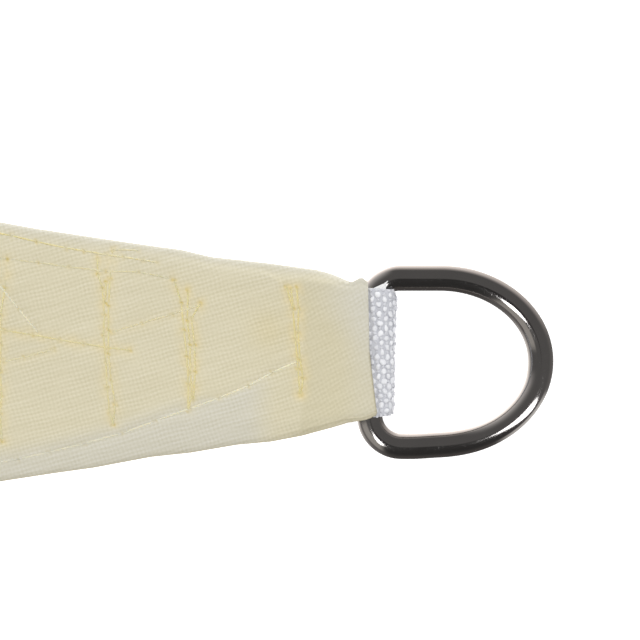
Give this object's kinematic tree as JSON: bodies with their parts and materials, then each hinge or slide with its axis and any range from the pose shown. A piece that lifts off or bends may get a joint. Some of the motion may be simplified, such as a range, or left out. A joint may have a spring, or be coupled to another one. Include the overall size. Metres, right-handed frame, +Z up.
{
  "type": "shade sail",
  "caption": "Triangular cream canvas shade sail with inward-curved hemmed edges, laid flat, a dark steel D-ring on a white webbing loop at each corner.",
  "frame": {"origin": "on the surface that the sail lies on, under the middle of its box", "axes": "+Z up from that surface, +X towards corner 1, +Y along the edge between corners 3 and 2"},
  "size_m": [1.7424, 2.0043, 0.0209],
  "materials": {
    "canvas": "matte plain weave, cream, water-repellent polyester",
    "webbing": "coarse woven white polyester webbing",
    "steel": "polished dark stainless wire"
  },
  "bodies": {
    "root": {"sail_cloth": "canvas", "webbing_loop_1": "webbing", "webbing_loop_2": "webbing", "webbing_loop_3": "webbing", "d_ring_1": "steel", "d_ring_2": "steel", "d_ring_3": "steel"}
  },
  "joints": []
}
